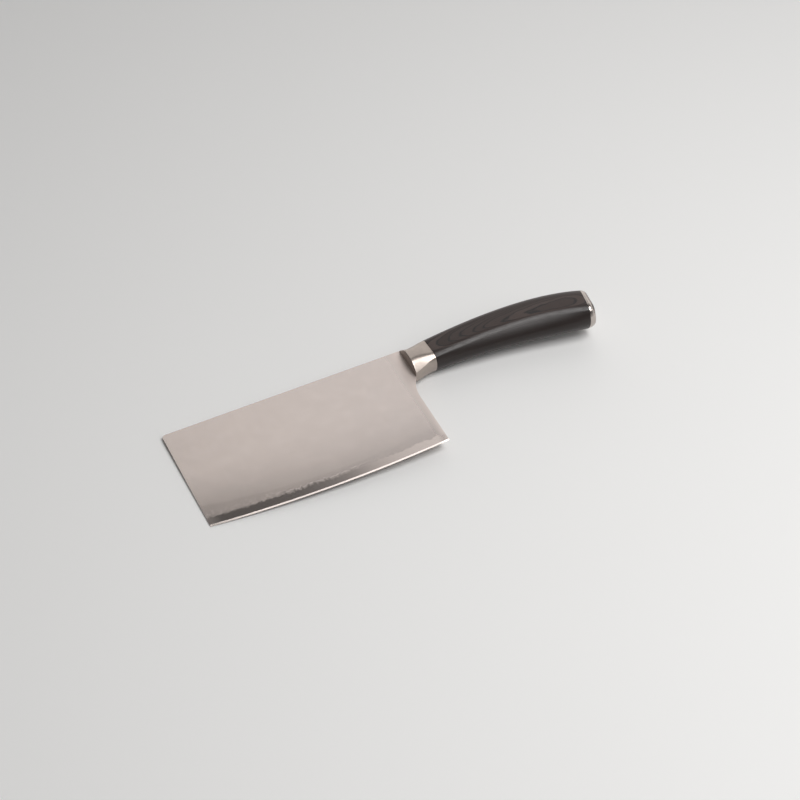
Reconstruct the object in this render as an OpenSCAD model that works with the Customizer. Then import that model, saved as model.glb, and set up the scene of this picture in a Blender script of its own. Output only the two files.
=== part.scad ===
// Cleaver with a three-layer blade, a steel bolster, a laminated wood grip and a steel end cap.
// It is built straight, with x from the tip of the blade towards the butt, y from the cutting
// edge up to the spine, where it is 0, and z across the blade. Then it is laid on its right
// side, at the small tilt at which its tip and its handle meet a table.

/* [Blade] */
// Length of the blade along the spine, from the tip to the bolster
blade_len = 164; // [120:1:220]
// Distance from the heel of the cutting edge to the bolster
heel_gap = 5.3; // [3:0.1:20]
// Width of the blade at the tip
tip_h = 79.6; // [60:0.1:95]
// Width of the blade at the heel
heel_h = 81.9; // [60:0.1:95]
// How far the edge bows out from the straight line between tip and heel
edge_bow = 3.5; // [1:0.1:8]
// Thickness of the spine
spine_t = 2.2; // [1.6:0.1:3.5]
// Thickness that the flat sides come down to at the edge
taper_t = 0.56; // [0.5:0.02:1]
// Radius of the corner between the tip and the spine
tip_r = 2; // [0.5:0.1:10]
// Radius of the hollow between the heel and the bolster
notch_r = 28; // [15:1:40]

/* [Cutting edge] */
// Thickness behind the bevel of the cutting edge
edge_t = 0.4; // [0.3:0.02:0.5]
// Width of the flat left along the very edge
edge_flat = 0.1; // [0.05:0.01:0.2]
// Width of the bevel
bevel_w = 1.1; // [0.5:0.1:2]
// Thickness of the hard core
core_t = 0.6; // [0.56:0.02:1]
// Height above the edge at which the core comes out from between the outer layers
core_show = 6.5; // [3:0.1:12]

/* [Bolster] */
// Length of the bolster
bolster_len = 16.2; // [10:0.1:25]
// Height of the bolster at the blade
front_h = 25.2; // [20:0.1:32]
// Thickness of the bolster at the blade
front_w = 18.4; // [15:0.1:22]
// How fast its height falls behind the blade, as a share of the length gone
front_taper_share = 0.7; // [0:0.05:0.8]
// How far the centre line rises from the blade to the back of the bolster
neck_lift = 1.4; // [0:0.1:3]

/* [Grip] */
// Length of the grip along x, from the bolster to the end cap
grip_len = 109.8; // [90:0.1:130]
// Height at the bolster
neck_h = 21.7; // [20:0.1:26]
// Thickness at the bolster
neck_w = 15.4; // [15:0.1:20]
// Height at the middle
mid_h = 28.3; // [22:0.1:34]
// Thickness at the middle
mid_w = 20.9; // [16:0.1:26]
// Height at the end cap
butt_h = 26.3; // [22:0.1:34]
// Thickness at the end cap
butt_w = 20; // [16:0.1:26]
// How far the centre line drops from the bolster to the end cap
butt_drop = 8.2; // [0:0.1:12]
// Upward slope of the centre line at the bolster, in degrees
neck_angle = 2.4; // [0:0.1:5]
// Downward slope of the centre line at the end cap, in degrees
butt_angle = 9.2; // [2:0.1:14]

/* [Handle section] */
// Rise of the back's crown at the blade
front_back_crown = 7.6; // [4:0.1:8]
// Rise of the back's crown at the bolster's other end
neck_back_crown = 4; // [1:0.1:5]
// Rise of the back's crown at the end cap
butt_back_crown = 3.1; // [1:0.1:5]
// Height of the crease between side and belly above the lowest line of the belly, at the blade
front_crease_h = 0.3; // [0.1:0.1:2]
// The same height at the bolster's other end
neck_crease_h = 1.9; // [0.5:0.1:4]
// The same height at the middle of the grip, where the crease runs out into a round
mid_crease_h = 6; // [1:0.1:8]
// The same height at the end cap
butt_crease_h = 3.6; // [0.5:0.1:6]
// How far the crease lies inside the widest part of the side at the blade
front_crease_in = 5.2; // [1:0.1:7]
// The same distance at the bolster's other end
neck_crease_in = 1.5; // [0.5:0.1:4]
// The same distance at the middle of the grip
mid_crease_in = 1.9; // [0.5:0.1:4]
// The same distance at the end cap
butt_crease_in = 1.5; // [0.5:0.1:5]
// How far above the crease the side starts to curve in, at the blade
front_turn_h = 9.4; // [4:0.1:14]
// The same height at the bolster's other end
neck_turn_h = 5; // [3:0.1:12]
// The same height at the end cap
butt_turn_h = 5; // [3:0.1:12]
// Rounding between side and back at the blade
front_back_r = 2; // [1:0.1:3]
// Rounding between side and back at the bolster's other end
neck_back_r = 1.8; // [1:0.1:3]
// Rounding between side and back at the end cap
butt_back_r = 5.1; // [1:0.1:6]
// How round the crowns are at the blade, where 0 is a roof and 1 an arc
front_round_share = 0.2; // [0:0.1:1]

/* [End cap] */
// Length of the cap's rim, half way up
cap_rim = 3.4; // [2:0.1:6]
// How far the rim curves in on its way to the dome
cap_curve_in = 0.8; // [0.2:0.1:1.2]
// Rise of the dome above the rim
cap_dome = 1.6; // [0.5:0.1:4]
// How far the end of the cap leans from the joint towards the upright, in degrees
cap_lean_angle = 2.8; // [0:0.1:4]
// Length of the boss that goes into the grip
boss_len = 8; // [5:0.5:12]

/* [Tang] */
// Height of the flat tang stub
tang_h = 9; // [8.6:0.1:9.2]
// How much thinner each side of the stub is than the blade beside it
tang_step = 0.1; // [0.05:0.05:0.15]
// Length of the tang stub, from the front of the bolster
tang_len = 27; // [20:0.5:32]
// Diameter of the rod that lengthens the tang
rod_d = 7.6; // [6:0.1:7.8]
// Gap between the back of the bolster and the rod
rod_gap = 1; // [0.8:0.1:2]
// Clearance round the stub in the bolster and in the rod's fork
slot_gap = 0.05; // [0.02:0.01:0.1]
// Diameter of the bore in the grip
bore_d = 10.4; // [10:0.1:11]
// Diameter of the screwed end of the rod
screw_d = 5; // [4:0.5:6]
// Length of the screwed end of the rod
screw_len = 9; // [6:0.5:10]
// Clearance round the screwed end and round the boss of the cap
screw_gap = 0.05; // [0.02:0.01:0.1]

/* [Hidden] */

// Where the two pulls of the grip's centre line lie, as shares of its length
neck_pull_share = 0.58;
butt_pull_share = 0.16;
// Overrun of the shapes that only cut
overrun = 5;
// Steps in each quarter of a section, and rings along the bolster, the grip, the rim and the dome
quarter_steps = 6;
bolster_rings = 10;
grip_rings = 30;
rim_rings = 4;
dome_rings = 6;
// Points along the edge that are tested for the size of the whole
edge_tests = 24;
// Faces on the great circle that the edge is an arc of
edge_faces = 720;
round_faces = 64;

// The edge is an arc through the tip and heel corners, and its circle carries the thin strip
// behind the edge and the bevel
edge_len = blade_len - heel_gap;
tip_corner = [0, -tip_h];
heel_corner = [edge_len, -heel_h];
edge_chord = heel_corner - tip_corner;
edge_up = [-edge_chord.y, edge_chord.x] / norm(edge_chord);
edge_r = (pow(norm(edge_chord) / 2, 2) + pow(edge_bow, 2)) / (2 * edge_bow);
edge_centre = (tip_corner + heel_corner) / 2 + edge_up * (edge_r - edge_bow);
edge_depth = edge_r - edge_centre.y;
thinning = (core_t - edge_t) / 2 / (core_show - bevel_w);
thin_reach = bevel_w + (spine_t - edge_t / 2) / thinning;

// Half the thickness that the flat sides leave at a height
function half_t(y) = mix(spine_t, taper_t, -y / edge_depth) / 2;

// The hollow behind the heel is an arc that ends at the lower front corner of the bolster
notch_y = -front_h - sqrt(pow(notch_r, 2) - pow(notch_r - heel_gap, 2));

// Centre line of the handle
front_at = [blade_len, -front_h / 2];
neck_at = front_at + [bolster_len, neck_lift];
butt_at = neck_at + [grip_len, -butt_drop];
neck_way = [cos(neck_angle), sin(neck_angle)];
butt_way = [cos(butt_angle), -sin(butt_angle)];
bolster_line = [front_at, front_at + [bolster_len / 3, 0],
                neck_at - neck_way * bolster_len / 3, neck_at];
grip_line = [neck_at, neck_at + neck_way * grip_len * neck_pull_share,
             butt_at - butt_way * grip_len * butt_pull_share, butt_at];

// The rod runs straight from the middle of the stub behind the bolster to the middle of the butt.
// Places along it count from where its line crosses the bolster's back.
tang_y = -front_h / 2;
tang_t = 2 * (half_t(tang_y - tang_h / 2) - tang_step);
stub_mid = [(neck_at.x + blade_len + tang_len) / 2, tang_y];
rod_angle = atan2(butt_at.y - stub_mid.y, butt_at.x - stub_mid.x);
rod_from = stub_mid - [1, tan(rod_angle)] * (stub_mid.x - neck_at.x);
rod_span = norm(butt_at - rod_from);
boss_from = rod_span - boss_len;

function mix(a, b, u) = a + (b - a) * u;
function ease(u) = u * u * (3 - 2 * u);

// Curve through a, m and b where u is 0, a half and 1, and its slope at the start
function through(a, m, b, u) = a * (1 - u) * (1 - 2 * u) + 4 * m * u * (1 - u) + b * u * (2 * u - 1);
function through_start(a, m, b) = 4 * m - 3 * a - b;

// Curve from a to b with the given slopes at its ends
function between(a, b, slope_a, slope_b, u) =
    mix(a, b, ease(u)) + slope_a * u * (1 - u) * (1 - u) - slope_b * (1 - u) * u * u;

// Point and heading of a cubic curve with four control points
function curve(p, u) =
    let (v = 1 - u)
    v * v * v * p[0] + 3 * v * v * u * p[1] + 3 * v * u * u * p[2] + u * u * u * p[3];
function heading(p, u) =
    let (v = 1 - u)
    let (d = v * v * (p[1] - p[0]) + 2 * v * u * (p[2] - p[1]) + u * u * (p[3] - p[2]))
    atan2(d.y, d.x);
function bend(a, corner, b, u) = (1 - u) * (1 - u) * a + 2 * u * (1 - u) * corner + u * u * b;

// How far a crown has fallen at a distance across from the flat on its ridge
function fall(crown, across, half_w, flat, round_share) =
    let (t = max(0, across - flat) / (half_w - flat))
    crown * t * mix(1, t, round_share);

// Outline of the handle's section, from the ridge of the back round the left side, the belly and
// the right side. Each side curves in to a crease above the belly. Its points are [up, across].
function section(half_h, half_w, back_crown, back_r, crease_h, crease_in, turn_h, flat = 0,
                 round_share = 1) =
    let (back_side = half_h - back_crown, crease_up = crease_h - half_h)
    let (back = [for (k = [0:quarter_steps])
        let (z = (half_w - back_r) * k / quarter_steps)
        [half_h - fall(back_crown, z, half_w, flat, round_share), z]])
    let (belly = [for (k = [quarter_steps - 1:-1:0])
        let (z = (half_w - crease_in) * k / quarter_steps)
        [fall(crease_h, z, half_w - crease_in, 0, 1) - half_h, z]])
    let (back_corner = [for (k = [1:quarter_steps])
        bend(back[quarter_steps], [back_side, half_w], [back_side - back_r, half_w], k / quarter_steps)])
    let (turn = [for (k = [0:quarter_steps])
        let (u = k / quarter_steps)
        [crease_up + turn_h * (1 - u), half_w - crease_in * u * u]])
    let (left = concat(back, back_corner, turn, belly))
    concat(left, [for (k = [len(left) - 2:-1:1]) [left[k].x, -left[k].y]]);

// Places an outline at a point of the centre line, square to the heading
function ring(at, angle, outline) =
    [for (q = outline) [at.x - q.x * sin(angle), at.y + q.x * cos(angle), q.y]];

// Slopes of the grip's height and thickness at the bolster, which the bolster takes up
neck_stretch = 3 * grip_len * neck_pull_share * cos(neck_angle);
neck_h_slope = through_start(neck_h, mid_h, butt_h) * bolster_len / neck_stretch;
neck_w_slope = through_start(neck_w, mid_w, butt_w) * bolster_len / neck_stretch;

// Sections of the bolster and of the grip, where u goes from 0 to 1 along each
function bolster_section(u) = section(
    half_h = between(front_h, neck_h, -front_taper_share * bolster_len, neck_h_slope, u) / 2,
    half_w = between(front_w, neck_w, 0, neck_w_slope, u) / 2,
    back_crown = mix(front_back_crown, neck_back_crown, ease(u)),
    back_r = mix(front_back_r, neck_back_r, ease(u)),
    crease_h = mix(front_crease_h, neck_crease_h, ease(u)),
    crease_in = mix(front_crease_in, neck_crease_in, ease(u)),
    turn_h = mix(front_turn_h, neck_turn_h, ease(u)),
    flat = mix(spine_t / 2, 0, ease(u)),
    round_share = mix(front_round_share, 1, ease(u)));
function grip_section(u) = section(
    half_h = through(neck_h, mid_h, butt_h, u) / 2,
    half_w = through(neck_w, mid_w, butt_w, u) / 2,
    back_crown = mix(neck_back_crown, butt_back_crown, u),
    back_r = mix(neck_back_r, butt_back_r, u),
    crease_h = through(neck_crease_h, mid_crease_h, butt_crease_h, u),
    crease_in = through(neck_crease_in, mid_crease_in, butt_crease_in, u),
    turn_h = mix(neck_turn_h, butt_turn_h, u));

bolster_loft = [for (k = [0:bolster_rings])
    let (u = k / bolster_rings)
    ring(curve(bolster_line, u), heading(bolster_line, u), bolster_section(u))];
grip_loft = [for (k = [0:grip_rings])
    let (u = k / grip_rings)
    ring(curve(grip_line, u), heading(grip_line, u), grip_section(u))];

// The cap is its boss, then rings that are [distance behind the grip, share of the butt's size,
// angle], then the top of the dome
butt_outline = grip_section(1);
boss_outline = [for (q = butt_outline) q * (bore_d / 2 - screw_gap) / norm(q)];
boss_at = rod_from + (butt_at - rod_from) * boss_from / rod_span;
dome_share = 1 - 2 * cap_curve_in / butt_w;
cap_angle = cap_lean_angle - butt_angle;
cap_steps = concat(
    [for (k = [0:rim_rings - 1])
        let (u = k / rim_rings)
        [cap_rim * u, mix(1, dome_share, u * u), mix(-butt_angle, cap_angle, u)]],
    [for (k = [0:dome_rings - 1])
        let (r = 1 - k / dome_rings)
        [cap_rim + cap_dome * (1 - r * r), dome_share * r, cap_angle]]);
cap_loft = concat(
    [ring(boss_at, rod_angle, boss_outline), ring(butt_at, -butt_angle, boss_outline)],
    [for (s = cap_steps) ring(butt_at + butt_way * s[0], s[2], butt_outline * s[1])]);
cap_top = butt_at + butt_way * (cap_rim + cap_dome);

// Rest on the right side. The roll lays the blade's flat side down at the tip, and the tilt
// brings down whichever part of the handle reaches lowest.
roll = atan((spine_t - taper_t) / 2 / edge_depth);
handle_points = [for (piece = [bolster_loft, grip_loft, cap_loft]) for (r = piece) for (p = r) p];
function rolled(p) = [p.x, p.y * cos(roll) - p.z * sin(roll), p.y * sin(roll) + p.z * cos(roll)];
tip_low = -rolled([0, 0, -spine_t / 2]).z;
tilt = max([for (p = handle_points) atan((-rolled(p).z - tip_low) / p.x)]);
function tilted(p) = [p.x * cos(tilt) - p.z * sin(tilt), p.y, p.x * sin(tilt) + p.z * cos(tilt)];
blade_points = concat(
    [for (side = [-1, 1]) [0, 0, side * spine_t / 2]],
    [for (k = [0:edge_tests])
        let (x = edge_len * k / edge_tests)
        [x, edge_centre.y - sqrt(pow(edge_r, 2) - pow(x - edge_centre.x, 2)), 0]]);
rest_points = [for (p = concat(blade_points, handle_points, [[cap_top.x, cap_top.y, 0]]))
    tilted(rolled(p))];
rest_min = [for (a = [0:2]) min([for (p = rest_points) p[a]])];
rest_max = [for (a = [0:2]) max([for (p = rest_points) p[a]])];
rest_origin = [(rest_min.x + rest_max.x) / 2, (rest_min.y + rest_max.y) / 2, rest_min.z];

module laid() {
    translate(-rest_origin) rotate([roll, -tilt, 0]) children();
}

// Solid through a list of rings, with flat ends or with one point past the last ring
module loft(rings, top = undef) {
    n = len(rings[0]);
    last = len(rings) - 1;
    points = concat([for (r = rings) for (p = r) p], is_undef(top) ? [] : [top]);
    sides = [for (i = [0:last - 1]) for (j = [0:n - 1])
        let (a = i * n + j, b = i * n + (j + 1) % n)
        for (face = [[a, b, b + n], [a, b + n, a + n]]) face];
    start = [[for (j = [0:n - 1]) (n - j) % n]];
    end = is_undef(top)
        ? [[for (j = [0:n - 1]) last * n + j]]
        : [for (j = [0:n - 1]) [last * n + j, last * n + (j + 1) % n, len(points) - 1]];
    polyhedron(points = points, faces = concat(start, sides, end));
}

// Flat sides of the blade, which taper from the spine to the edge, as one long prism
module taper_prism() {
    low = -edge_depth - overrun;
    rotate([90, 0, 90])
        linear_extrude(blade_len + overrun)
            polygon([[overrun, half_t(overrun)], [low, half_t(low)],
                     [low, -half_t(low)], [overrun, -half_t(overrun)]]);
}

// Disc whose rim is the cutting edge, with the thin strip and the bevel behind it
module edge_disc() {
    inner = edge_r - thin_reach;
    behind = edge_r - bevel_w;
    translate([edge_centre.x, edge_centre.y, 0])
        rotate_extrude($fn = edge_faces)
            polygon([[0, -spine_t], [inner, -spine_t], [behind, -edge_t / 2], [edge_r, -edge_flat / 2],
                     [edge_r, edge_flat / 2], [behind, edge_t / 2], [inner, spine_t], [0, spine_t]]);
}

// Corner that is cut away to round the tip
module tip_corner_cut() {
    difference() {
        translate([-overrun, -tip_r]) square([overrun + tip_r, tip_r + overrun]);
        translate([tip_r, -tip_r]) circle(r = tip_r, $fn = round_faces);
        translate([tip_r, -tip_r]) square([tip_r, tip_r + overrun]);
    }
}

module blade_outline() {
    difference() {
        translate([0, -edge_depth - overrun]) square([edge_len, edge_depth + overrun]);
        tip_corner_cut();
    }
    difference() {
        translate([edge_len - heel_gap, notch_y]) square([2 * heel_gap, -notch_y]);
        translate([edge_len + notch_r, notch_y]) circle(r = notch_r, $fn = round_faces);
    }
}

// Tang stub, which starts inside the blade, with a gap all round where it is cut from a neighbour
module tang_slab(gap = 0) {
    translate([blade_len - overrun, tang_y - tang_h / 2 - gap, -tang_t / 2 - gap])
        cube([overrun + tang_len + gap, tang_h + 2 * gap, tang_t + 2 * gap]);
}

module blade_body() {
    intersection() {
        linear_extrude(2 * spine_t, center = true) blade_outline();
        taper_prism();
        edge_disc();
    }
    tang_slab();
}

// Part of the blade between two heights across it
module blade_layer(low, high) {
    intersection() {
        blade_body();
        translate([-overrun, -edge_depth - overrun, low])
            cube([blade_len + tang_len + 2 * overrun, edge_depth + 2 * overrun, high - low]);
    }
}

// Puts z along the rod, from the back of the bolster
module along_rod() {
    translate([rod_from.x, rod_from.y, 0]) rotate([0, 90, rod_angle]) children();
}

module rod_body() {
    along_rod() {
        translate([0, 0, rod_gap]) cylinder(d = rod_d, h = boss_from - rod_gap, $fn = round_faces);
        translate([0, 0, boss_from]) cylinder(d = screw_d, h = screw_len, $fn = round_faces);
    }
}

// Everything in front of the joint between bolster and grip, as far as the bore reaches
module before_neck() {
    translate([neck_at.x, neck_at.y, 0])
        rotate([0, 0, neck_angle])
            translate([-2 * bore_d, -bore_d, -bore_d])
                cube([2 * bore_d, 2 * bore_d, 2 * bore_d]);
}

// Hard middle layer of the blade, with the edge
module blade_core() {
    color("#8f8984") laid() blade_layer(-core_t / 2, core_t / 2);
}

// Outer layer on the side that faces up at rest
module cladding_left() {
    color("#cbc2ba") laid() blade_layer(core_t / 2, spine_t);
}

// Outer layer on the side that faces the table at rest
module cladding_right() {
    color("#cbc2ba") laid() blade_layer(-spine_t, -core_t / 2);
}

// Block between blade and grip, slotted for the tang stub
module bolster() {
    color("#a89f98")
        laid()
            difference() {
                loft(bolster_loft);
                tang_slab(slot_gap);
            }
}

// Rod that is forked over the stub and screwed into the cap
module tang_rod() {
    color("#77797c")
        laid()
            difference() {
                rod_body();
                tang_slab(slot_gap);
            }
}

// Laminated wood block with its bore
module grip() {
    color("#3d3736")
        laid()
            difference() {
                loft(grip_loft);
                along_rod()
                    translate([0, 0, -overrun])
                        cylinder(d = bore_d, h = rod_span + 2 * overrun, $fn = round_faces);
            }
}

// Filling of the bore round the rod and the end of the stub
module grip_adhesive() {
    color("#b7a36a")
        laid()
            difference() {
                along_rod()
                    translate([0, 0, -overrun])
                        cylinder(d = bore_d, h = boss_from + overrun, $fn = round_faces);
                before_neck();
                rod_body();
                tang_slab();
            }
}

// Cap with its boss and the blind hole for the screwed end of the rod
module end_cap() {
    color("#b5aca6")
        laid()
            difference() {
                loft(cap_loft, [cap_top.x, cap_top.y, 0]);
                along_rod()
                    translate([0, 0, boss_from - overrun])
                        cylinder(d = screw_d + 2 * screw_gap, h = overrun + screw_len + screw_gap,
                                 $fn = round_faces);
            }
}

blade_core();
cladding_left();
cladding_right();
bolster();
tang_rod();
grip();
grip_adhesive();
end_cap();
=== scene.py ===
"""Looks of the cleaver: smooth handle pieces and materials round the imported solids, on a pale floor."""

import math
from collections import namedtuple

import bpy
from mathutils import Euler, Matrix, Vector


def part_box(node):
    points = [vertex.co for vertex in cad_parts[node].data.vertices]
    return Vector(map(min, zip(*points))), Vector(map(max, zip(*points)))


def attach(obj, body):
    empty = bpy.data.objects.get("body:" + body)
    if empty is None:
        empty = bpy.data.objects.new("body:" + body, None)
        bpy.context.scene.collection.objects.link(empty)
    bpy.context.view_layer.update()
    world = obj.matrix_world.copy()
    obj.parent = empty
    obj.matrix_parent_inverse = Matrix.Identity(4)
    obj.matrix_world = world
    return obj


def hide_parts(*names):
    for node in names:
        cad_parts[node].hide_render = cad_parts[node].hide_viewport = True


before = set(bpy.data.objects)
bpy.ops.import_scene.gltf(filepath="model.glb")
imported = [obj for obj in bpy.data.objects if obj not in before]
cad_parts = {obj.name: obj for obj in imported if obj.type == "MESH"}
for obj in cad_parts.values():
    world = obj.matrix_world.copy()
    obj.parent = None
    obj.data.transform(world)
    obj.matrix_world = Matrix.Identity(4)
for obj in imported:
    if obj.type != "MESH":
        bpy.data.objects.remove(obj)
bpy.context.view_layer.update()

MM = 0.001

# Blade sizes, in millimetres and with the names of the part's source
BLADE_LEN = 164.0
HEEL_GAP = 5.3
TIP_H = 79.6
HEEL_H = 81.9
EDGE_BOW = 3.5
SPINE_T = 2.2
TAPER_T = 0.56
CORE_SHOW = 6.5
BEVEL_W = 1.1

# Handle sizes
BOLSTER_LEN = 16.2
FRONT_H = 25.2
FRONT_W = 18.4
FRONT_TAPER_SHARE = 0.7
NECK_LIFT = 1.4
GRIP_LEN = 109.8
NECK_H = 21.7
NECK_W = 15.4
MID_H = 28.3
MID_W = 20.9
BUTT_H = 26.3
BUTT_W = 20.0
BUTT_DROP = 8.2
NECK_ANGLE = math.radians(2.4)
BUTT_ANGLE = math.radians(9.2)
NECK_PULL_SHARE = 0.58
BUTT_PULL_SHARE = 0.16

# Crowns and corner radii of the handle at the blade, at the neck and at the butt
FRONT_BACK_CROWN = 7.6
NECK_BACK_CROWN = 4.0
BUTT_BACK_CROWN = 3.1
FRONT_CREASE_H = 0.3
NECK_CREASE_H = 1.9
MID_CREASE_H = 6.0
BUTT_CREASE_H = 3.6
FRONT_CREASE_IN = 5.2
NECK_CREASE_IN = 1.5
MID_CREASE_IN = 1.9
BUTT_CREASE_IN = 1.5
FRONT_TURN_H = 9.4
NECK_TURN_H = 5.0
BUTT_TURN_H = 5.0
FRONT_BACK_R = 2.0
NECK_BACK_R = 1.8
BUTT_BACK_R = 5.1
FRONT_ROUND_SHARE = 0.2

# End cap, tang and bore
CAP_RIM = 3.4
CAP_DOME = 1.6
CAP_CURVE_IN = 0.8
CAP_LEAN_ANGLE = math.radians(2.8)
BOSS_LEN = 8.0
TANG_H = 9.0
TANG_STEP = 0.1
TANG_LEN = 27.0
SLOT_GAP = 0.05
BORE_D = 10.4
SCREW_D = 5.0
SCREW_LEN = 9.0
SCREW_GAP = 0.05
OVERRUN = 5.0

# Fineness of the lofts, and the eased rims that only the looks have
QUARTER_STEPS = 14
BOLSTER_RINGS = 40
GRIP_RINGS = 110
RIM_RINGS = 12
DOME_RINGS = 14
ROUND_FACES = 96
EASE_STEPS = 4
FRONT_EASE = 0.35
SEAM_EASE = 0.12

# Places that follow from the sizes
edge_len = BLADE_LEN - HEEL_GAP
tip_corner = Vector((0, -TIP_H))
heel_corner = Vector((edge_len, -HEEL_H))
edge_chord = heel_corner - tip_corner
edge_up = Vector((-edge_chord.y, edge_chord.x)).normalized()
edge_r = ((edge_chord.length / 2) ** 2 + EDGE_BOW ** 2) / (2 * EDGE_BOW)
edge_centre = (tip_corner + heel_corner) / 2 + edge_up * (edge_r - EDGE_BOW)
edge_depth = edge_r - edge_centre.y
front_at = Vector((BLADE_LEN, -FRONT_H / 2))
neck_at = front_at + Vector((BOLSTER_LEN, NECK_LIFT))
butt_at = neck_at + Vector((GRIP_LEN, -BUTT_DROP))
neck_way = Vector((math.cos(NECK_ANGLE), math.sin(NECK_ANGLE)))
butt_way = Vector((math.cos(BUTT_ANGLE), -math.sin(BUTT_ANGLE)))
bolster_line = [
    front_at,
    front_at + Vector((BOLSTER_LEN / 3, 0)),
    neck_at - neck_way * BOLSTER_LEN / 3,
    neck_at,
]
grip_line = [
    neck_at,
    neck_at + neck_way * GRIP_LEN * NECK_PULL_SHARE,
    butt_at - butt_way * GRIP_LEN * BUTT_PULL_SHARE,
    butt_at,
]


def mix(a, b, u):
    """Value a share u of the way from a to b."""
    return a + (b - a) * u


def ease(u):
    """Share that starts and ends level."""
    return u * u * (3 - 2 * u)


def through(a, m, b, u):
    """Value on the parabola that is a at 0, m halfway and b at 1."""
    return a * (1 - u) * (1 - 2 * u) + 4 * m * u * (1 - u) + b * u * (2 * u - 1)


def through_start(a, m, b):
    """Slope of that parabola at 0."""
    return 4 * m - 3 * a - b


def between(a, b, slope_a, slope_b, u):
    """Value from a to b that leaves and arrives at given slopes."""
    return mix(a, b, ease(u)) + slope_a * u * (1 - u) ** 2 - slope_b * (1 - u) * u ** 2


def curve(p, u):
    """Point of the cubic curve with four control points."""
    v = 1 - u
    return p[0] * v ** 3 + p[1] * 3 * v * v * u + p[2] * 3 * v * u * u + p[3] * u ** 3


def heading(p, u):
    """Angle of that curve's direction."""
    v = 1 - u
    d = (p[1] - p[0]) * v * v + (p[2] - p[1]) * 2 * v * u + (p[3] - p[2]) * u * u
    return math.atan2(d.y, d.x)


def bend(a, corner, b, u):
    """Point of the round between two points, drawn towards their corner."""
    return a * (1 - u) ** 2 + corner * 2 * u * (1 - u) + b * u * u


def half_t(y):
    """Half the thickness of the blade at a height, from the spine down to the edge."""
    return mix(SPINE_T, TAPER_T, -y / edge_depth) / 2


def fall(crown, across, half_w, flat, round_share):
    """How far a crown has fallen at a distance across from the flat on its ridge."""
    t = max(0, across - flat) / (half_w - flat)
    return crown * t * mix(1, t, round_share)


def section(half_h, half_w, back_crown, back_r, crease_h, crease_in, turn_h, flat=0.0, round_share=1.0):
    """Outline of the handle as (up, across), from the ridge round the left side, belly and right side."""
    shares = [k / QUARTER_STEPS for k in range(QUARTER_STEPS + 1)]
    back_across = [(half_w - back_r) * s for s in shares]
    back = [Vector((half_h - fall(back_crown, z, half_w, flat, round_share), z)) for z in back_across]
    corner = Vector((half_h - back_crown, half_w))
    side_top = corner - Vector((back_r, 0))
    rounding = [bend(back[-1], corner, side_top, s) for s in shares[1:]]
    crease_up = crease_h - half_h
    side = [Vector((crease_up + turn_h * (1 - s), half_w - crease_in * s * s)) for s in shares]
    belly_w = half_w - crease_in
    belly_across = [belly_w * s for s in reversed(shares[:-1])]
    belly = [Vector((fall(crease_h, z, belly_w, 0, 1) - half_h, z)) for z in belly_across]
    left = back + rounding + side + belly
    return left + [Vector((q.x, -q.y)) for q in reversed(left[1:-1])]


def circle(diameter):
    """Round outline as (up, across)."""
    turns = [2 * math.pi * k / ROUND_FACES for k in range(ROUND_FACES)]
    return [Vector((math.cos(a), math.sin(a))) * diameter / 2 for a in turns]


def ring(at, angle, outline):
    """Places an outline at a point of the centre line, square to the heading."""
    return [Vector((at.x - q.x * math.sin(angle), at.y + q.x * math.cos(angle), q.y)) for q in outline]


# Slopes of the bolster's height and width at the neck, so that they run on smoothly into the grip
neck_stretch = 3 * GRIP_LEN * NECK_PULL_SHARE * math.cos(NECK_ANGLE)
neck_h_slope = through_start(NECK_H, MID_H, BUTT_H) * BOLSTER_LEN / neck_stretch
neck_w_slope = through_start(NECK_W, MID_W, BUTT_W) * BOLSTER_LEN / neck_stretch


def bolster_section(u):
    """Outline at a share of the bolster's length."""
    return section(
        half_h=between(FRONT_H, NECK_H, -FRONT_TAPER_SHARE * BOLSTER_LEN, neck_h_slope, u) / 2,
        half_w=between(FRONT_W, NECK_W, 0, neck_w_slope, u) / 2,
        back_crown=mix(FRONT_BACK_CROWN, NECK_BACK_CROWN, ease(u)),
        back_r=mix(FRONT_BACK_R, NECK_BACK_R, ease(u)),
        crease_h=mix(FRONT_CREASE_H, NECK_CREASE_H, ease(u)),
        crease_in=mix(FRONT_CREASE_IN, NECK_CREASE_IN, ease(u)),
        turn_h=mix(FRONT_TURN_H, NECK_TURN_H, ease(u)),
        flat=mix(SPINE_T / 2, 0, ease(u)),
        round_share=mix(FRONT_ROUND_SHARE, 1, ease(u)),
    )


def grip_section(u):
    """Outline at a share of the grip's length."""
    return section(
        half_h=through(NECK_H, MID_H, BUTT_H, u) / 2,
        half_w=through(NECK_W, MID_W, BUTT_W, u) / 2,
        back_crown=mix(NECK_BACK_CROWN, BUTT_BACK_CROWN, u),
        back_r=mix(NECK_BACK_R, BUTT_BACK_R, u),
        crease_h=through(NECK_CREASE_H, MID_CREASE_H, BUTT_CREASE_H, u),
        crease_in=through(NECK_CREASE_IN, MID_CREASE_IN, BUTT_CREASE_IN, u),
        turn_h=mix(NECK_TURN_H, BUTT_TURN_H, u),
    )


def eased_places(length, start_r, end_r, count):
    """Places along a piece as (share of the length, inset), with both of its rims rounded over."""
    angles = [math.pi / 2 * k / EASE_STEPS for k in range(EASE_STEPS)]
    start = [(start_r * (1 - math.cos(a)) / length, start_r * (1 - math.sin(a))) for a in angles]
    end = [(1 - end_r * (1 - math.cos(a)) / length, end_r * (1 - math.sin(a))) for a in reversed(angles)]
    low = start_r / length
    high = 1 - end_r / length
    return start + [(mix(low, high, k / count), 0.0) for k in range(count + 1)] + end


def body_rings(line, outline_at, places):
    """Rings of a piece that follows a centre line."""
    rings = []
    for u, inset in places:
        outline = outline_at(u)
        half_w = max(q.y for q in outline)
        outline = [q * (1 - inset / half_w) for q in outline]
        rings.append(ring(curve(line, u), heading(line, u), outline))
    return rings


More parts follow.
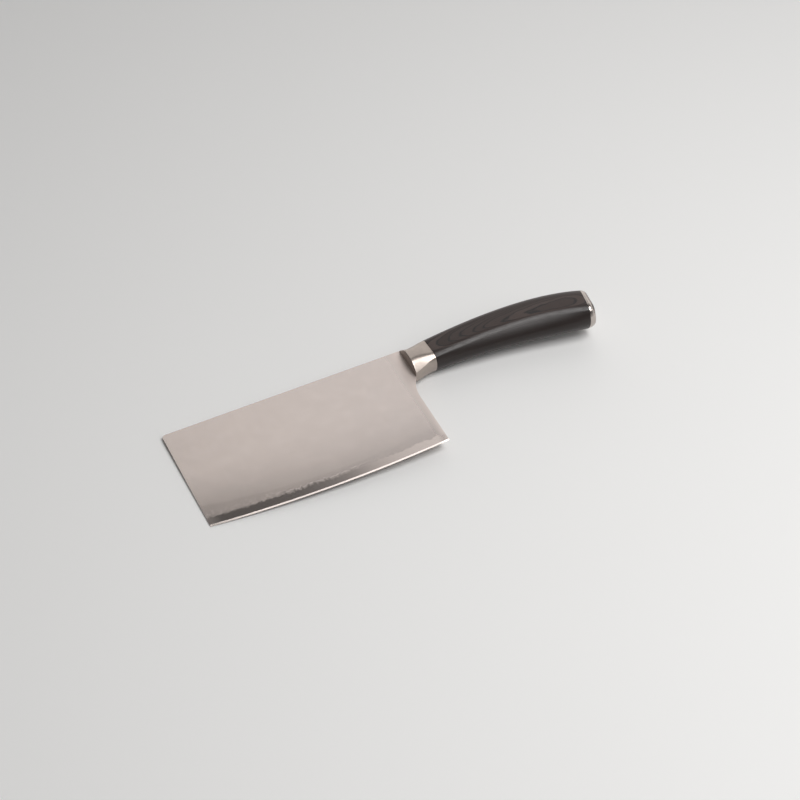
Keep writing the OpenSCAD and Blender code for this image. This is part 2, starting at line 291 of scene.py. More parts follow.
bolster_rings = body_rings(
    bolster_line, bolster_section, eased_places(BOLSTER_LEN, FRONT_EASE, SEAM_EASE, BOLSTER_RINGS)
)
grip_rings = body_rings(
    grip_line, grip_section, eased_places(GRIP_LEN, SEAM_EASE, SEAM_EASE, GRIP_RINGS)
)

# The rod's line, and the rings of the cap: its boss, its curved rim, and its dome
tang_y = -FRONT_H / 2
tang_t = 2 * (half_t(tang_y - TANG_H / 2) - TANG_STEP)
stub_mid = Vector(((neck_at.x + BLADE_LEN + TANG_LEN) / 2, tang_y))
rod_slope = (butt_at.y - stub_mid.y) / (butt_at.x - stub_mid.x)
rod_angle = math.atan(rod_slope)
rod_from = stub_mid - Vector((1, rod_slope)) * (stub_mid.x - neck_at.x)
rod_way = (butt_at - rod_from).normalized()
rod_span = (butt_at - rod_from).length
boss_from = rod_span - BOSS_LEN
cap_angle = CAP_LEAN_ANGLE - BUTT_ANGLE
cap_top = butt_at + butt_way * (CAP_RIM + CAP_DOME)


def cap_rings():
    """Rings of the end cap, from the end of its boss to the top of its dome."""
    butt_outline = grip_section(1)
    boss_outline = [q * (BORE_D / 2 - SCREW_GAP) / q.length for q in butt_outline]
    dome_share = 1 - 2 * CAP_CURVE_IN / BUTT_W
    seam_share = 1 - 2 * SEAM_EASE / BUTT_W
    steps = [(0, seam_share, -BUTT_ANGLE)]
    for k in range(RIM_RINGS):
        u = mix(SEAM_EASE / CAP_RIM, 1, k / RIM_RINGS)
        steps.append((CAP_RIM * u, mix(1, dome_share, u * u), mix(-BUTT_ANGLE, cap_angle, u)))
    for k in range(DOME_RINGS):
        r = 1 - k / DOME_RINGS
        steps.append((CAP_RIM + CAP_DOME * (1 - r * r), dome_share * r, cap_angle))
    rings = [ring(rod_from + rod_way * boss_from, rod_angle, boss_outline)]
    rings.append(ring(butt_at, -BUTT_ANGLE, boss_outline))
    for distance, share, angle in steps:
        rings.append(ring(butt_at + butt_way * distance, angle, [q * share for q in butt_outline]))
    return rings


# Rest on the right side, at the roll and tilt of the part's source
roll = math.atan((SPINE_T - TAPER_T) / 2 / edge_depth)
tip_low = -math.cos(roll) * SPINE_T / 2
handle_points = [p for r in bolster_rings + grip_rings + cap_rings() for p in r]
tilt = max(
    math.atan((tip_low - p.y * math.sin(roll) - p.z * math.cos(roll)) / p.x) for p in handle_points
)
rest_turn = Euler((roll, -tilt, 0)).to_matrix()
turned_low = [min((rest_turn @ p)[a] for r in grip_rings for p in r) for a in range(3)]
rest_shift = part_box("grip")[0] - Vector(turned_low) * MM


def laid(p):
    """A point of the straight knife, in millimetres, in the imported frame."""
    return rest_turn @ p * MM + rest_shift


def loft(name, rings, top=None):
    """Closed mesh through rings, with flat ends or with one point past the last ring."""
    n = len(rings[0])
    points = [laid(p) for r in rings for p in r]
    faces = []
    for i in range(len(rings) - 1):
        for j in range(n):
            a = i * n + j
            b = i * n + (j + 1) % n
            faces.append((a, b, b + n, a + n))
    faces.append([(n - j) % n for j in range(n)])
    last = (len(rings) - 1) * n
    if top is None:
        faces.append([last + j for j in range(n)])
    else:
        points.append(laid(top))
        faces += [(last + j, last + (j + 1) % n, len(points) - 1) for j in range(n)]
    mesh = bpy.data.meshes.new(name)
    mesh.from_pydata(points, [], faces)
    mesh.validate()
    made = bpy.data.objects.new(name, mesh)
    bpy.context.scene.collection.objects.link(made)
    return made


def along_rod(start, end, diameter, name):
    """Round bar on the rod's line, to cut with."""
    rings = [ring(rod_from + rod_way * d, rod_angle, circle(diameter)) for d in (start, end)]
    return loft(name, rings)


def tang_slab(gap, name):
    """Flat bar as wide as the tang stub and a gap round it, to cut with."""
    half_h = TANG_H / 2 + gap
    half_w = tang_t / 2 + gap
    corners = [(half_h, -half_w), (half_h, half_w), (-half_h, half_w), (-half_h, -half_w)]
    outline = [Vector(c) for c in corners]
    ends = (BLADE_LEN - OVERRUN, BLADE_LEN + TANG_LEN + gap)
    return loft(name, [ring(Vector((x, tang_y)), 0, outline) for x in ends])


def cut(piece, cutter):
    """Takes the cutter's shape out of the piece for good."""
    modifier = piece.modifiers.new("cut", "BOOLEAN")
    modifier.operation = "DIFFERENCE"
    modifier.solver = "EXACT"
    modifier.object = cutter
    graph = bpy.context.evaluated_depsgraph_get()
    made = bpy.data.meshes.new_from_object(piece.evaluated_get(graph))
    piece.modifiers.clear()
    piece.data = made
    bpy.data.objects.remove(cutter)


SHARP_ANGLE = math.radians(24)


def finish_piece(piece, node):
    """Shades a new piece smooth, and lets it stand for its solid."""
    piece.data.shade_smooth()
    piece.data.set_sharp_from_angle(angle=SHARP_ANGLE)
    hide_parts(node)
    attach(piece, "root")
    return piece


def make_bolster():
    piece = loft("bolster_smooth", bolster_rings)
    cut(piece, tang_slab(SLOT_GAP, "slot_cutter"))
    return finish_piece(piece, "bolster")


def make_grip():
    piece = loft("grip_smooth", grip_rings)
    cut(piece, along_rod(-OVERRUN, rod_span + OVERRUN, BORE_D, "bore_cutter"))
    return finish_piece(piece, "grip")


def make_end_cap():
    piece = loft("end_cap_smooth", cap_rings(), Vector((cap_top.x, cap_top.y, 0)))
    hole_end = boss_from + SCREW_LEN + SCREW_GAP
    cut(piece, along_rod(boss_from - OVERRUN, hole_end, SCREW_D + 2 * SCREW_GAP, "hole_cutter"))
    return finish_piece(piece, "end_cap")


# Shader nodes

def add(tree, kind, inputs=None, **settings):
    """Adds a node. An input that is a socket is linked, and any other value is set on its socket."""
    made = tree.nodes.new(kind)
    for key, value in settings.items():
        setattr(made, key, value)
    for key, value in (inputs or {}).items():
        if isinstance(value, bpy.types.NodeSocket):
            tree.links.new(value, made.inputs[key])
        else:
            made.inputs[key].default_value = value
    return made


def calc(tree, operation, *values):
    return add(tree, "ShaderNodeMath", dict(enumerate(values)), operation=operation).outputs[0]


def plus(tree, a, b):
    return calc(tree, "ADD", a, b)


def minus(tree, a, b):
    return calc(tree, "SUBTRACT", a, b)


def times(tree, first, *others):
    product = first
    for value in others:
        product = calc(tree, "MULTIPLY", product, value)
    return product


def uneven(tree, pattern, reach, least):
    """The least value, and more of it up to a reach where the pattern is strong."""
    return plus(tree, times(tree, pattern, reach), least)


def spread(tree, value, low, high, to_low=0.0, to_high=1.0):
    """Smooth step of a value from one range to another."""
    inputs = {
        "Value": value, "From Min": low, "From Max": high, "To Min": to_low, "To Max": to_high,
    }
    made = add(tree, "ShaderNodeMapRange", inputs, interpolation_type="SMOOTHSTEP")
    return made.outputs["Result"]


def blend_colour(tree, share, a, b):
    """Colour that goes from a to b with the share."""
    made = add(tree, "ShaderNodeMix", data_type="RGBA")
    sockets = (made.inputs[0], made.inputs[6], made.inputs[7])
    for socket, value in zip(sockets, (share, a, b)):
        if isinstance(value, bpy.types.NodeSocket):
            tree.links.new(value, socket)
        elif socket.type == "RGBA":
            socket.default_value = (*value, 1.0)
        else:
            socket.default_value = value
    return made.outputs[2]


def blend_normal(tree, share, a, b):
    """Normal that goes from a to b with the share. All three are sockets."""
    made = add(tree, "ShaderNodeMix", data_type="VECTOR")
    for index, socket in ((0, share), (4, a), (5, b)):
        tree.links.new(socket, made.inputs[index])
    return made.outputs[1]


def noise(tree, knife, waves, detail=4.0, roughness=0.55):
    """Noise with its own number of waves per millimetre along each axis of the knife."""
    place = add(tree, "ShaderNodeMapping", {"Vector": knife, "Scale": waves}).outputs[0]
    inputs = {"Vector": place, "Scale": 1.0, "Detail": detail, "Roughness": roughness}
    return add(tree, "ShaderNodeTexNoise", inputs).outputs["Fac"]


def new_material(name):
    """An empty material, and the knife's own coordinates in millimetres in it."""
    made = bpy.data.materials.new(name)
    made.use_nodes = True
    tree = made.node_tree
    tree.nodes.clear()
    place = add(tree, "ShaderNodeTexCoord").outputs["Object"]
    inputs = {
        "Vector": place,
        "Location": rest_shift,
        "Rotation": (roll, -tilt, 0.0),
        "Scale": (MM, MM, MM),
    }
    knife = add(tree, "ShaderNodeMapping", inputs, vector_type="TEXTURE").outputs[0]
    return made, tree, knife


def bumped(tree, height, depth=1.0):
    """Normal of a surface whose height follows a pattern, with the millimetres that a height of one is."""
    return add(tree, "ShaderNodeBump", {"Height": height, "Distance": depth * MM}).outputs[0]


def shine(tree, base, rough, normal, **constants):
    """The material's shader and its output."""
    inputs = {"Base Color": base, "Roughness": rough, "Normal": normal, **constants}
    shader = add(tree, "ShaderNodeBsdfPrincipled", inputs)
    out = add(tree, "ShaderNodeOutputMaterial")
    tree.links.new(shader.outputs[0], out.inputs["Surface"])


METAL = {"Metallic": 1.0}


def tint(colour, factor):
    return tuple(c * factor for c in colour)


# Steel of the blade, and its lighter and darker places
STEEL = (0.64, 0.568, 0.533)
STEEL_WARM = (0.656, 0.578, 0.536)
STEEL_COOL = (0.62, 0.556, 0.527)
CLOUD_STEEL = tint(STEEL, 0.96)
DRIFT_STEEL = tint(STEEL, 1.07)
SCRATCH_STEEL = tint(STEEL, 0.6)
# Painted shade that darkens the sides towards the cutting edge
EDGE_PAINTED_SHADE_STEEL = tint(STEEL, 0.2)
BAND_DARK = tint(STEEL, 0.66)
BAND_LIGHT = tint(STEEL, 0.84)
CORE_LIGHT = tint(STEEL, 0.82)
CORE_DARK = tint(STEEL, 0.5)
CORE_FAINT = tint(STEEL, 0.94)
CORE_TIP = tint(STEEL, 1.4)
LINE_STEEL = tint(STEEL, 1.4)
SPECKLE_STEEL = tint(STEEL, 1.7)
GROOVE_STEEL = tint(STEEL, 0.3)
# The bevel's colour is painted shade that dims its highlight; it is lightest at the tip
BEVEL_PAINTED_SHADE_TIP = tint(STEEL, 0.75)
BEVEL_PAINTED_SHADE_STEEL = tint(STEEL, 0.32)
# Painted light: the blade's last millimetres before the bolster are lightened
MATT_PAINTED_LIGHT_STEEL = tint(STEEL, 1.3)

# How much of each of those colours is mixed in
CLOUD_SHARE = 0.4
DRIFT_SHARE = 0.4
SCRATCH_SHARE = 0.12
EDGE_PAINTED_SHADE_SHARE = 0.1
CORE_SCRATCH_SHARE = 0.2
LINE_SHARE = 0.65
SPECKLE_SHARE = 0.35
GROOVE_SHARE = 0.25

# Waves per millimetre of the blade's patterns, along X, Y and Z
GROUND_WAVES = (2.6, 0.03, 2.6)
CLOUD_WAVES = (0.045, 0.045, 0.045)
DRIFT_WAVES = (0.088, 0.11, 0.11)
ETCHED_WAVES = (0.55, 0.88, 1.1)
SLOW_WAVES = (0.09, 0.02, 0.01)
FAST_WAVES = (0.5, 0.1, 0.1)
SPECKLE_WAVES = (1.3, 1.3, 1.3)

# Levels of those patterns between which something comes in
CLOUD_LEVELS = (0.35, 0.65)
DRIFT_LEVELS = (0.4, 0.75)
BAND_LEVELS = (0.3, 0.7)
BROKEN_LEVELS = (0.35, 0.6)
SPECKLE_LEVELS = (0.54, 0.64)

# Stretches along the blade, in millimetres from the tip: where a thing starts, and where it is full
WARM_TO_COOL = (20.0, 150.0)
BLURRED = (60.0, 38.0)
FAINT = (86.0, 114.0)
RIPPLES_GROW = (30.0, 60.0)
GREY_TIP = (10.0, 0.0)
# Painted shade on the bevel: it starts at the tip and is full 70 mm along
BEVEL_PAINTED_SHADE_GROWS = (0.0, 70.0)
MATT_AND_PAINTED_LIGHT = (BLADE_LEN - 12.0, BLADE_LEN - 3.0)

# Heights in millimetres above the cutting edge
# Painted shade on the sides: the height where it starts, and the height where it is full
EDGE_PAINTED_SHADE_HEIGHTS = (30.0, 5.0)
BEVEL_SOFT = 0.1

# The core's border: its waves, and the heights above it of what follows it, in millimetres
SLOW_SWING = 2.4
FAST_SWING = 8.0
CALM_SHARE = 0.35
SPRAY = 7.0
BLUR_STRETCH = 0.8
CLAD_RISE = (-0.3, 0.5)
BAND_END = (1.2, 2.4)
LINE_RISE = (1.3, 1.7)
LINE_FALL = (2.2, 1.8)
GROOVE_RISE = (2.1, 2.5)
GROOVE_FALL = (3.2, 2.6)
SPECKLE_RISE = (0.1, 0.5)
SPECKLE_FALL = (4.0, 1.5)

# Roughness of the blade
SATIN_ROUGH = 0.215
SATIN_UNEVEN = 0.06
CORE_ROUGH = 0.12
BEVEL_ROUGHER = 0.12
MATT_ROUGHER = 0.3

# Grinding of the sides: where it starts below the spine, the slopes it reaches and its lines
GRIND_START = 37.0
GRIND_REACH = 30.0
GRIND_SLOPE = 0.058
CORE_SLOPE = 0.102
BEVEL_SLOPE = 0.22
CLAD_LINE_DEPTH = 0.003
CORE_LINE_DEPTH = 0.001

Border = namedtuple("Border", "above etched blurred faint crisp")


def edge_height(tree, axes):
    """Height above the cutting edge, in millimetres."""
    along = minus(tree, axes["X"], edge_centre.x)
    up = minus(tree, axes["Y"], edge_centre.y)
    squares = plus(tree, times(tree, along, along), times(tree, up, up))
    return minus(tree, edge_r, calc(tree, "SQRT", squares))


def core_border(tree, knife, axes, height):
    """The core's border: blurred near the tip, sharp and wavy in the middle, and faint near the heel."""
    blurred = spread(tree, axes["X"], *BLURRED)
    faint = spread(tree, axes["X"], *FAINT)
    crisp = times(tree, minus(tree, 1.0, faint), minus(tree, 1.0, blurred))
    etched = noise(tree, knife, ETCHED_WAVES, detail=5.0, roughness=0.7)

    # Short ripples lie on long waves, and both are calmer near the tip
    slow = noise(tree, knife, SLOW_WAVES, detail=2.0)
    fast = noise(tree, knife, FAST_WAVES, roughness=0.65)
    swing = plus(tree, times(tree, slow, SLOW_SWING), times(tree, fast, FAST_SWING))
    swing = minus(tree, swing, (SLOW_SWING + FAST_SWING) / 2)
    swing = times(tree, swing, spread(tree, axes["X"], *RIPPLES_GROW, CALM_SHARE, 1.0))
    above = minus(tree, height, plus(tree, swing, CORE_SHOW))

    # The blur sprays the border and stretches it upwards
    spray = times(tree, minus(tree, etched, 0.5), blurred, SPRAY)
    above = calc(tree, "DIVIDE", plus(tree, above, spray), uneven(tree, blurred, BLUR_STRETCH, 1.0))
    return Border(above, etched, blurred, faint, crisp)


def side_colour(tree, knife, axes, height, ground):
    """Colour of the outer layers away from the border, with soft clouds, fine grinding lines, and painted
    shade that darkens them towards the edge.
    """
    cloud = noise(tree, knife, CLOUD_WAVES, detail=3.0)
    drift = noise(tree, knife, DRIFT_WAVES, roughness=0.6)
    tone = blend_colour(tree, spread(tree, axes["X"], *WARM_TO_COOL), STEEL_WARM, STEEL_COOL)
    tone = blend_colour(tree, spread(tree, cloud, *CLOUD_LEVELS, 0.0, CLOUD_SHARE), tone, CLOUD_STEEL)
    tone = blend_colour(tree, spread(tree, drift, *DRIFT_LEVELS, 0.0, DRIFT_SHARE), tone, DRIFT_STEEL)
    tone = blend_colour(tree, times(tree, ground, SCRATCH_SHARE), tone, SCRATCH_STEEL)
    # Painted shade: the sides darken from 30 mm above the edge down to 5 mm
    edge_painted_shade = spread(tree, height, *EDGE_PAINTED_SHADE_HEIGHTS, 0.0, EDGE_PAINTED_SHADE_SHARE)
    return blend_colour(tree, edge_painted_shade, tone, EDGE_PAINTED_SHADE_STEEL)


def core_colour(tree, axes, ground, faint):
    """Colour of the core strip, dark in the middle of the blade and greyer at its ends."""
    core = blend_colour(tree, times(tree, ground, CORE_SCRATCH_SHARE), CORE_LIGHT, CORE_DARK)
    core = blend_colour(tree, faint, core, CORE_FAINT)
    return blend_colour(tree, spread(tree, axes["X"], *GREY_TIP), core, CORE_TIP)


def stripe(tree, above, rise, fall):
    """Share that comes in and goes out again over heights above the border."""
    return times(tree, spread(tree, above, *rise), spread(tree, above, *fall))


def blade_colour(tree, knife, axes, height, ground, border, clad):
    """The side and the core, and between them the band, line, speckles and groove of the border."""
    tone = side_colour(tree, knife, axes, height, ground)
    core = core_colour(tree, axes, ground, border.faint)
    band = blend_colour(tree, spread(tree, border.etched, *BAND_LEVELS), BAND_DARK, BAND_LIGHT)
    band = blend_colour(tree, border.crisp, tone, band)
    base = blend_colour(tree, spread(tree, border.above, *BAND_END), band, tone)
    base = blend_colour(tree, clad, core, base)

    line = stripe(tree, border.above, LINE_RISE, LINE_FALL)
    base = blend_colour(tree, times(tree, line, border.crisp, LINE_SHARE), base, LINE_STEEL)
    speckles = noise(tree, knife, SPECKLE_WAVES, detail=2.0, roughness=0.6)
    speckles = spread(tree, speckles, *SPECKLE_LEVELS)
    speckles = times(tree, speckles, stripe(tree, border.above, SPECKLE_RISE, SPECKLE_FALL))
    base = blend_colour(tree, times(tree, speckles, border.blurred, SPECKLE_SHARE), base, SPECKLE_STEEL)
    groove = stripe(tree, border.above, GROOVE_RISE, GROOVE_FALL)
    groove = times(tree, groove, spread(tree, border.etched, *BROKEN_LEVELS), border.crisp)
    return blend_colour(tree, times(tree, groove, GROOVE_SHARE), base, GROOVE_STEEL)


def blade_normal(tree, axes, height, ground, clad):
    """The sides are ground convex towards the edge, the core flat, and the bevel steeper."""
    past = calc(tree, "MAXIMUM", minus(tree, -GRIND_START, axes["Y"]), 0.0)
    grind = times(tree, past, past, -GRIND_SLOPE / GRIND_REACH / 2)
    clad_height = plus(tree, grind, times(tree, ground, CLAD_LINE_DEPTH))
    bevel = times(tree, calc(tree, "MINIMUM", height, BEVEL_W), BEVEL_SLOPE)
    core_height = plus(tree, times(tree, past, -CORE_SLOPE), bevel)
    core_height = plus(tree, core_height, times(tree, ground, CORE_LINE_DEPTH))
    return blend_normal(tree, clad, bumped(tree, core_height), bumped(tree, clad_height))


def blade_steel(name):
    """Satin steel with fine grinding lines, and the wavy border of the hard core above the edge."""
    made, tree, knife = new_material(name)
    axes = add(tree, "ShaderNodeSeparateXYZ", {"Vector": knife}).outputs
    height = edge_height(tree, axes)
    ground = noise(tree, knife, GROUND_WAVES, detail=6.0, roughness=0.7)
    border = core_border(tree, knife, axes, height)
    clad = spread(tree, border.above, *CLAD_RISE)
    base = blade_colour(tree, knife, axes, height, ground, border, clad)

    bevel = spread(tree, height, BEVEL_W + BEVEL_SOFT, BEVEL_W - BEVEL_SOFT)
    # The bevel is painted darker than the sides, a painted shade that dims its highlight away from the tip
    bevel_painted_shade = blend_colour(tree, spread(tree, axes["X"], *BEVEL_PAINTED_SHADE_GROWS), BEVEL_PAINTED_SHADE_TIP, BEVEL_PAINTED_SHADE_STEEL)
    base = blend_colour(tree, bevel, base, bevel_painted_shade)

    # The last millimetres before the bolster are rougher and matt, and their colour is lightened there as
    # painted light beside the bolster
    matt_and_painted_light = spread(tree, axes["X"], *MATT_AND_PAINTED_LIGHT)
    base = blend_colour(tree, matt_and_painted_light, base, MATT_PAINTED_LIGHT_STEEL)
    satin = uneven(tree, ground, SATIN_UNEVEN, SATIN_ROUGH)
    rough = uneven(tree, clad, minus(tree, satin, CORE_ROUGH), CORE_ROUGH)
    rough = plus(tree, rough, times(tree, bevel, BEVEL_ROUGHER))
    rough = plus(tree, rough, times(tree, matt_and_painted_light, MATT_ROUGHER))
    shine(tree, base, rough, blade_normal(tree, axes, height, ground, clad), **METAL)
    return made


# Steel of the bolster and of the cap: colours, roughness, and waves per millimetre along the handle
BOLSTER_STEEL = (0.455, 0.395, 0.355)
BOLSTER_ROUGH = 0.27
BOLSTER_LINES = 3.0
CAP_STEEL = (0.56, 0.505, 0.47)
CAP_ROUGH = 0.16
CAP_LINES = 2.0
ROUND_WAVES = 0.12
POLISH_WAVES = (0.16, 0.16, 0.16)
POLISH_LEVELS = (0.3, 0.7)
POLISH_TINTS = (0.93, 1.05)
WEAR_WAVES = (1.7, 1.7, 1.7)
WEAR_LEVELS = (0.55, 0.8)
WEAR_ROUGHER = 0.06
FINE_LINE_TINT = 0.65
FINE_LINE_SHARE = 0.16
FINE_LINE_ROUGHER = 0.08
FINE_LINE_DEPTH = 0.003


def handle_steel(name, colour, roughness, lines):
    """Polished steel with fine lines round the handle."""
    made, tree, knife = new_material(name)
    fine = noise(tree, knife, (lines, ROUND_WAVES, ROUND_WAVES), detail=5.0, roughness=0.7)
    cloud = noise(tree, knife, POLISH_WAVES)
    wear = noise(tree, knife, WEAR_WAVES, detail=6.0, roughness=0.7)
    dark, light = (tint(colour, factor) for factor in POLISH_TINTS)
    base = blend_colour(tree, spread(tree, cloud, *POLISH_LEVELS), dark, light)
    fine_line = tint(colour, FINE_LINE_TINT)
    base = blend_colour(tree, times(tree, fine, FINE_LINE_SHARE), base, fine_line)
    rough = uneven(tree, fine, FINE_LINE_ROUGHER, roughness)
    rough = plus(tree, rough, spread(tree, wear, *WEAR_LEVELS, 0.0, WEAR_ROUGHER))
    shine(tree, base, rough, bumped(tree, fine, FINE_LINE_DEPTH), **METAL)
    return made


# Wood of the grip: colours, sizes in millimetres and waves per millimetre
WOOD_LIGHT = (0.066, 0.043, 0.037)
WOOD_DARK = (0.024, 0.012, 0.009)
# Painted shade for the grip's belly
BELLY_PAINTED_SHADE_WOOD = tint(WOOD_DARK, 0.4)
RESIN_LINE = (0.002, 0.001, 0.001)
LAYER_T = 0.42
DOME_CURVE = 0.018
WARP_DEPTH = 1.1
WARP_WAVES = (0.03, 0.06, 0.05)
FIBRE_WAVES = (0.09, 1.6, 1.6)
PORE_WAVES = (0.25, 4.5, 4.5)
JOINT_LEVELS = (0.33, 0.48)
FIBRE_LEVELS = (0.35, 0.75)
PORE_LEVELS = (0.6, 0.7)
JOINT_SHARE = 0.9
FIBRE_SHARE = 0.5
PORE_SHARE = 0.45
# Painted shade on the belly: the heights across the grip where it starts and where it is full
BELLY_PAINTED_SHADE_ACROSS = (-3.0, -9.0)
BELLY_PAINTED_SHADE_SHARE = 0.8
WOOD_ROUGH = 0.22
FIBRE_ROUGHER = 0.3
FIBRE_DEPTH = 0.02
WOOD_SHINE = {"Specular IOR Level": 0.52}


def laminated_wood(name):
    """Dyed veneers pressed flat: their joints follow the thickness and show as rings on the sides."""
    made, tree, knife = new_material(name)
    axes = add(tree, "ShaderNodeSeparateXYZ", {"Vector": knife}).outputs
    along = calc(tree, "DIVIDE", minus(tree, axes["X"], neck_at.x), GRIP_LEN)
    bow = times(tree, along, along, BUTT_DROP)
    across = plus(tree, minus(tree, axes["Y"], neck_at.y), bow)

    # Each veneer has a shade of its own, and dark resin in its joint
    warp = noise(tree, knife, WARP_WAVES, detail=3.0)
    depth = minus(tree, calc(tree, "ABSOLUTE", axes["Z"]), times(tree, across, across, DOME_CURVE))
    depth = plus(tree, depth, times(tree, warp, WARP_DEPTH))
    layer = calc(tree, "DIVIDE", depth, LAYER_T)
    from_middle = minus(tree, calc(tree, "FRACT", layer), 0.5)
    joint = spread(tree, calc(tree, "ABSOLUTE", from_middle), *JOINT_LEVELS)
    layer_number = calc(tree, "FLOOR", layer)
    shade = add(tree, "ShaderNodeTexWhiteNoise", {"W": layer_number}, noise_dimensions="1D")

    fibres = noise(tree, knife, FIBRE_WAVES, detail=6.0, roughness=0.75)
    pores = spread(tree, noise(tree, knife, PORE_WAVES, detail=3.0), *PORE_LEVELS)
    base = blend_colour(tree, shade.outputs["Value"], WOOD_DARK, WOOD_LIGHT)
    base = blend_colour(tree, spread(tree, fibres, *FIBRE_LEVELS, 0.0, FIBRE_SHARE), base, WOOD_DARK)
    base = blend_colour(tree, times(tree, pores, PORE_SHARE), base, RESIN_LINE)
    base = blend_colour(tree, times(tree, joint, JOINT_SHARE), base, RESIN_LINE)

    # The belly is painted darker than the sides: painted shade
    belly_painted_shade = times(tree, spread(tree, across, *BELLY_PAINTED_SHADE_ACROSS), BELLY_PAINTED_SHADE_SHARE)
    base = blend_colour(tree, belly_painted_shade, base, BELLY_PAINTED_SHADE_WOOD)
    rough = uneven(tree, fibres, FIBRE_ROUGHER, WOOD_ROUGH)
    normal = bumped(tree, minus(tree, fibres, pores), FIBRE_DEPTH)
    shine(tree, base, rough, normal, **WOOD_SHINE)
    return made


# Hidden steel of the rod, and the resin round it
ROD_DARK = (0.36, 0.36, 0.37)
ROD_LIGHT = (0.5, 0.5, 0.51)
ROD_WAVES = (5.0, 0.2, 0.2)
ROD_ROUGH = 0.3
ROD_ROUGHER = 0.2
ROD_LINE_DEPTH = 0.02
RESIN_DARK = (0.42, 0.33, 0.15)
RESIN_LIGHT = (0.62, 0.52, 0.28)
RESIN_WAVES = (0.6, 0.6, 0.6)
RESIN_ROUGH = 0.35
RESIN_ROUGHER = 0.2
RESIN_DEPTH = 0.05


def turned_steel(name):
    """Steel with the lines of a lathe round it."""
    made, tree, knife = new_material(name)
    turned = noise(tree, knife, ROD_WAVES)
    base = blend_colour(tree, turned, ROD_DARK, ROD_LIGHT)
    rough = uneven(tree, turned, ROD_ROUGHER, ROD_ROUGH)
    shine(tree, base, rough, bumped(tree, turned, ROD_LINE_DEPTH), **METAL)
    return made


def set_resin(name):
    """Amber resin with soft clouds in it."""
    made, tree, knife = new_material(name)
    cloud = noise(tree, knife, RESIN_WAVES, detail=5.0)
    base = blend_colour(tree, cloud, RESIN_DARK, RESIN_LIGHT)
    rough = uneven(tree, cloud, RESIN_ROUGHER, RESIN_ROUGH)
    shine(tree, base, rough, bumped(tree, cloud, RESIN_DEPTH))
    return made


def dress(thing, material):
    if not thing.data.materials:
        thing.data.materials.append(material)
    for material_slot in thing.material_slots:
        material_slot.material = material


def dress_all(bolster, grip, end_cap):
    """Gives each piece its material."""
    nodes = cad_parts
    cladding = blade_steel("cladding steel")
    dress(nodes["cladding_left"], cladding)
    dress(nodes["cladding_right"], cladding)
    dress(nodes["blade_core"], blade_steel("core steel"))
    dress(nodes["tang_rod"], turned_steel("rod steel"))
    dress(nodes["grip_adhesive"], set_resin("resin"))
    dress(bolster, handle_steel("bolster steel", BOLSTER_STEEL, BOLSTER_ROUGH, BOLSTER_LINES))
    dress(end_cap, handle_steel("cap steel", CAP_STEEL, CAP_ROUGH, CAP_LINES))
    dress(grip, laminated_wood("laminated wood"))


# Floor, with lengths in metres
FLOOR_SIZE = 30.0
FLOOR_DROP = 0.02 * MM
FLOOR_COLOUR = (0.9, 0.895, 0.885)
FLOOR_ROUGH = 0.85


def make_floor():
    half = FLOOR_SIZE / 2
    corners = [(x, y, -FLOOR_DROP) for x, y in ((-half, -half), (half, -half), (half, half), (-half, half))]
    mesh = bpy.data.meshes.new("floor")
    mesh.from_pydata(corners, [], [(0, 1, 2, 3)])
    floor = bpy.data.objects.new("floor", mesh)
    bpy.context.scene.collection.objects.link(floor)
    made = bpy.data.materials.new("floor")
    made.use_nodes = True
    shader = made.node_tree.nodes["Principled BSDF"]
    shader.inputs["Base Color"].default_value = (*FLOOR_COLOUR, 1.0)
    shader.inputs["Roughness"].default_value = FLOOR_ROUGH
    mesh.materials.append(made)


# Two lamps that face straight down: places and sizes in metres, and the brightness of their faces
OVERHEAD_PLACE = (0.47, -0.42, 1.35)
OVERHEAD_SIZE = (0.8, 0.87)
OVERHEAD_RADIANCE = 6.2
FRONT_PLACE = (1.08, -1.45, 1.35)
FRONT_SIZE = (0.95, 1.25)
FRONT_RADIANCE = 2.3


def softbox(name, place, size, radiance):
    """Area lamp that faces straight down, with the given brightness of its own face."""
    width, depth = size
    data = bpy.data.lights.new(name, "AREA")
    data.shape = "RECTANGLE"
    data.size = width
    data.size_y = depth
    data.energy = radiance * math.pi * width * depth
    lamp = bpy.data.objects.new(name, data)
    lamp.location = place
    lamp.visible_camera = False
    bpy.context.scene.collection.objects.link(lamp)


# Light of the room: a bright wall, a dark card in front of it and a pale horizon. The wall's edge is given
# as cosines of the angle from its middle, and the card's edges as slopes of the direction.
ROOM_COLOUR = (1.0, 0.99, 0.98)
BRIGHT_AZIMUTH = 1.11
BRIGHT_ELEVATION = -0.2
BRIGHT_FROM = 0.176
BRIGHT_TO = 0.197
BRIGHT_LEVEL = 1.03
DARK_LEVEL = 0.147
LEAST_UP = 0.01
CARD_SLANT = 1.25
CARD_TOP = (-0.01, -0.1)
CARD_SIDE = (0.95, 0.75)
CARD_SHARE = 0.9
FAR_RIGHT = (0.7, 0.8)
HORIZON_LEVEL = 0.62
HORIZON_BRIGHTER = 0.18
HORIZON_HEIGHT = (0.4, 0.1)


def bright_wall(tree, way):
    """Brightness that steps up at an angle from one direction."""
    flat = math.cos(BRIGHT_ELEVATION)
    middle = (math.sin(BRIGHT_AZIMUTH) * flat, math.cos(BRIGHT_AZIMUTH) * flat, math.sin(BRIGHT_ELEVATION))
    near = add(tree, "ShaderNodeVectorMath", {0: way, 1: middle}, operation="DOT_PRODUCT")
    return spread(tree, near.outputs["Value"], BRIGHT_FROM, BRIGHT_TO, DARK_LEVEL, BRIGHT_LEVEL)


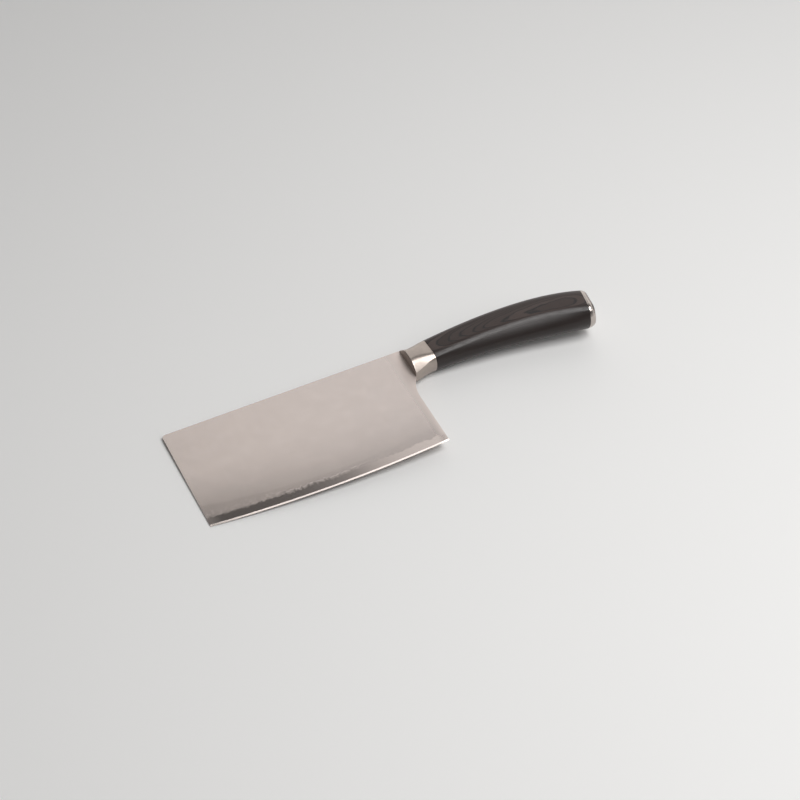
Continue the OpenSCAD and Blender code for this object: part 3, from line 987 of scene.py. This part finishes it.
def dark_card(tree, axes):
    """Share of darkness of a card between the wall and the lamp, and of the far right."""
    up = calc(tree, "MAXIMUM", axes["Z"], LEAST_UP)
    sideways = calc(tree, "DIVIDE", axes["X"], up)
    backward = calc(tree, "DIVIDE", axes["Y"], up)
    slant = minus(tree, backward, times(tree, sideways, CARD_SLANT))
    card = times(tree, spread(tree, slant, *CARD_TOP), spread(tree, sideways, *CARD_SIDE))
    return calc(tree, "MAXIMUM", card, spread(tree, axes["X"], *FAR_RIGHT))


def make_world():
    """Pale room: bright behind and to the right, dark round the lamp overhead, and pale at the horizon."""
    world = bpy.data.worlds.new("studio")
    world.use_nodes = True
    tree = world.node_tree
    tree.nodes.clear()
    way = add(tree, "ShaderNodeTexCoord").outputs["Generated"]
    axes = add(tree, "ShaderNodeSeparateXYZ", {"Vector": way}).outputs
    lit = minus(tree, 1.0, times(tree, dark_card(tree, axes), CARD_SHARE))
    wall = times(tree, bright_wall(tree, way), lit)
    horizon = uneven(tree, axes["Y"], HORIZON_BRIGHTER, HORIZON_LEVEL)
    horizon = times(tree, horizon, spread(tree, axes["Z"], *HORIZON_HEIGHT))
    level = calc(tree, "MAXIMUM", wall, horizon)
    back = add(tree, "ShaderNodeBackground", {"Color": (*ROOM_COLOUR, 1.0), "Strength": level})
    out = add(tree, "ShaderNodeOutputWorld")
    tree.links.new(back.outputs[0], out.inputs["Surface"])
    bpy.context.scene.world = world


# Camera, at the place, turn and lens of the photograph: metres, degrees and millimetres
CAMERA_PLACE = (-0.40099, -0.751165, 0.876878)
CAMERA_TURN = (44.46665, -1.77961, -26.09587)
CAMERA_LENS = 86.842
CAMERA_SENSOR = 36.0


def make_camera():
    data = bpy.data.cameras.new("camera")
    data.lens = CAMERA_LENS
    data.sensor_width = CAMERA_SENSOR
    camera = bpy.data.objects.new("camera", data)
    camera.location = CAMERA_PLACE
    camera.rotation_euler = [math.radians(a) for a in CAMERA_TURN]
    bpy.context.scene.collection.objects.link(camera)
    bpy.context.scene.camera = camera


bolster = make_bolster()
grip = make_grip()
end_cap = make_end_cap()
dress_all(bolster, grip, end_cap)
make_floor()
make_world()
softbox("overhead", OVERHEAD_PLACE, OVERHEAD_SIZE, OVERHEAD_RADIANCE)
softbox("front", FRONT_PLACE, FRONT_SIZE, FRONT_RADIANCE)
make_camera()
bpy.context.scene.view_settings.view_transform = "Standard"
